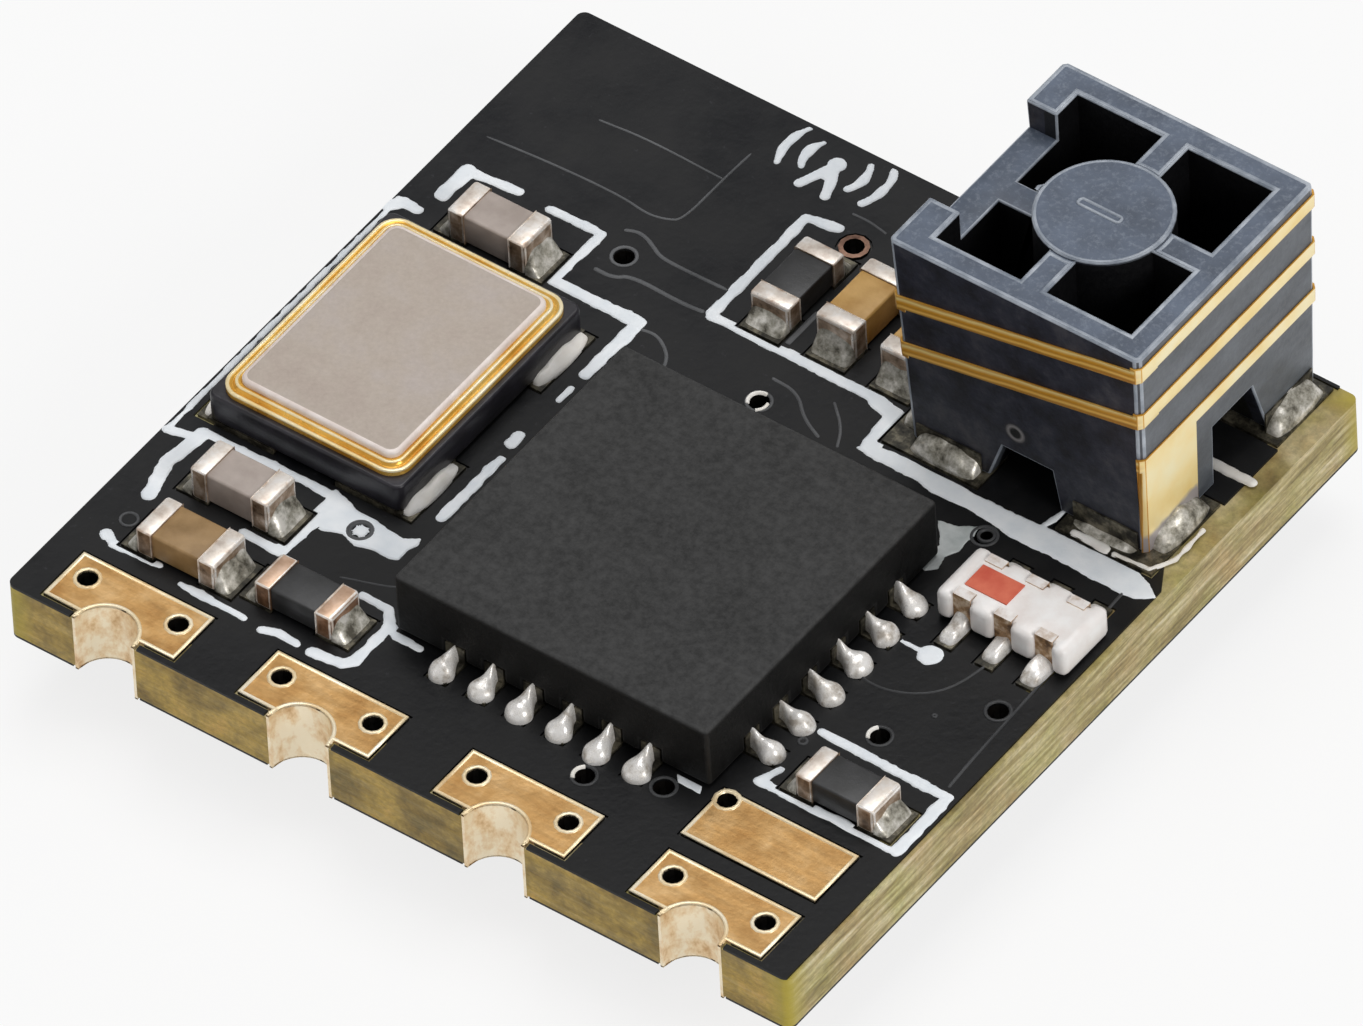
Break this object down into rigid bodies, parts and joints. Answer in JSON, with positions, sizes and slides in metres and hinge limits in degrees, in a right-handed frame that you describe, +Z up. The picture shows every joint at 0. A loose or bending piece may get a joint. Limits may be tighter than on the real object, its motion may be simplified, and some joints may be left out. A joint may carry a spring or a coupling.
{
  "type": "radio control receiver module",
  "caption": "Square printed board with plated half holes along one edge, flat leaded chips, a metal-lidded oscillator, small chip parts and a moulded tower antenna.",
  "frame": {"origin": "middle of the board's outline, at the height of the controller chip's flat face", "axes": "+Z up out of the antenna side, -Y towards the edge with the plated half holes"},
  "size_m": [0.01, 0.01, 0.0046],
  "materials": {
    "laminate": "glass laminate, satin",
    "solder_mask": "black solder mask, semi-gloss",
    "ink": "white printed ink",
    "gold_plate": "gold plated copper, satin",
    "bright_gold": "bright gold plating",
    "solder": "tinned solder, bright",
    "chip_mould": "grainy moulding compound",
    "tinned": "tinned metal",
    "ceramic_black": "black fired ceramic",
    "lid_metal": "matt nickel lid",
    "antenna_plastic": "moulded plastic, satin",
    "filter_ceramic": "white fired ceramic",
    "red_mark": "printed mark",
    "capacitor_beige": "grey-beige fired ceramic",
    "capacitor_brown": "brown fired ceramic",
    "capacitor_orange": "ochre fired ceramic",
    "resistor_black": "dark glaze",
    "lamp_white": "white base",
    "lamp_clear": "clear cast lens"
  },
  "bodies": {
    "root": {"antenna_body": "antenna_plastic", "antenna_capacitor": "capacitor_orange", "antenna_foot_plates": "bright_gold", "antenna_solder": "solder", "antenna_track": "bright_gold", "board_laminate": "laminate", "bulk_capacitor": "capacitor_brown", "capacitor_behind_oscillator": "capacitor_beige", "capacitor_front_of_oscillator": "capacitor_beige", "controller_capacitor_left": "capacitor_beige", "controller_capacitor_right": "capacitor_beige", "controller_chip_body": "chip_mould", "controller_chip_lead_frame": "tinned", "controller_chip_solder": "solder", "crystal_base": "ceramic_black", "crystal_lid": "lid_metal", "crystal_terminals": "tinned", "edge_pad_1": "gold_plate", "edge_pad_2": "gold_plate", "edge_pad_3": "gold_plate", "edge_pad_4": "gold_plate", "filter_body": "filter_ceramic", "filter_mark": "red_mark", "filter_solder": "solder", "filter_terminals": "tinned", "lamp_resistor": "resistor_black", "lower_capacitor_end_caps": "tinned", "lower_chip_part_solder": "solder", "lower_copper_pads": "gold_plate", "lower_resistor_end_caps": "tinned", "lower_solder_mask": "solder_mask", "matching_capacitor": "capacitor_orange", "oscillator_base": "ceramic_black", "oscillator_lid": "lid_metal", "oscillator_seal_ring": "bright_gold", "oscillator_solder": "solder", "oscillator_terminals": "bright_gold", "pull_up_resistor": "resistor_black", "radio_chip_body": "chip_mould", "radio_chip_lead_frame": "tinned", "radio_chip_solder": "solder", "regulator_body": "chip_mould", "regulator_capacitor_in": "capacitor_beige", "regulator_capacitor_out": "capacitor_beige", "regulator_lead_frame": "tinned", "regulator_solder": "solder", "resistor_by_antenna": "resistor_black", "resistor_by_test_pad": "resistor_black", "resistor_front_left": "resistor_black", "status_lamp_base": "lamp_white", "status_lamp_ends": "tinned", "status_lamp_lens": "lamp_clear", "test_pad": "gold_plate", "upper_capacitor_end_caps": "tinned", "upper_chip_part_solder": "solder", "upper_copper_pads": "gold_plate", "upper_resistor_end_caps": "tinned", "upper_silkscreen": "ink", "upper_solder_mask": "solder_mask", "via_barrels": "gold_plate"}
  },
  "joints": []
}
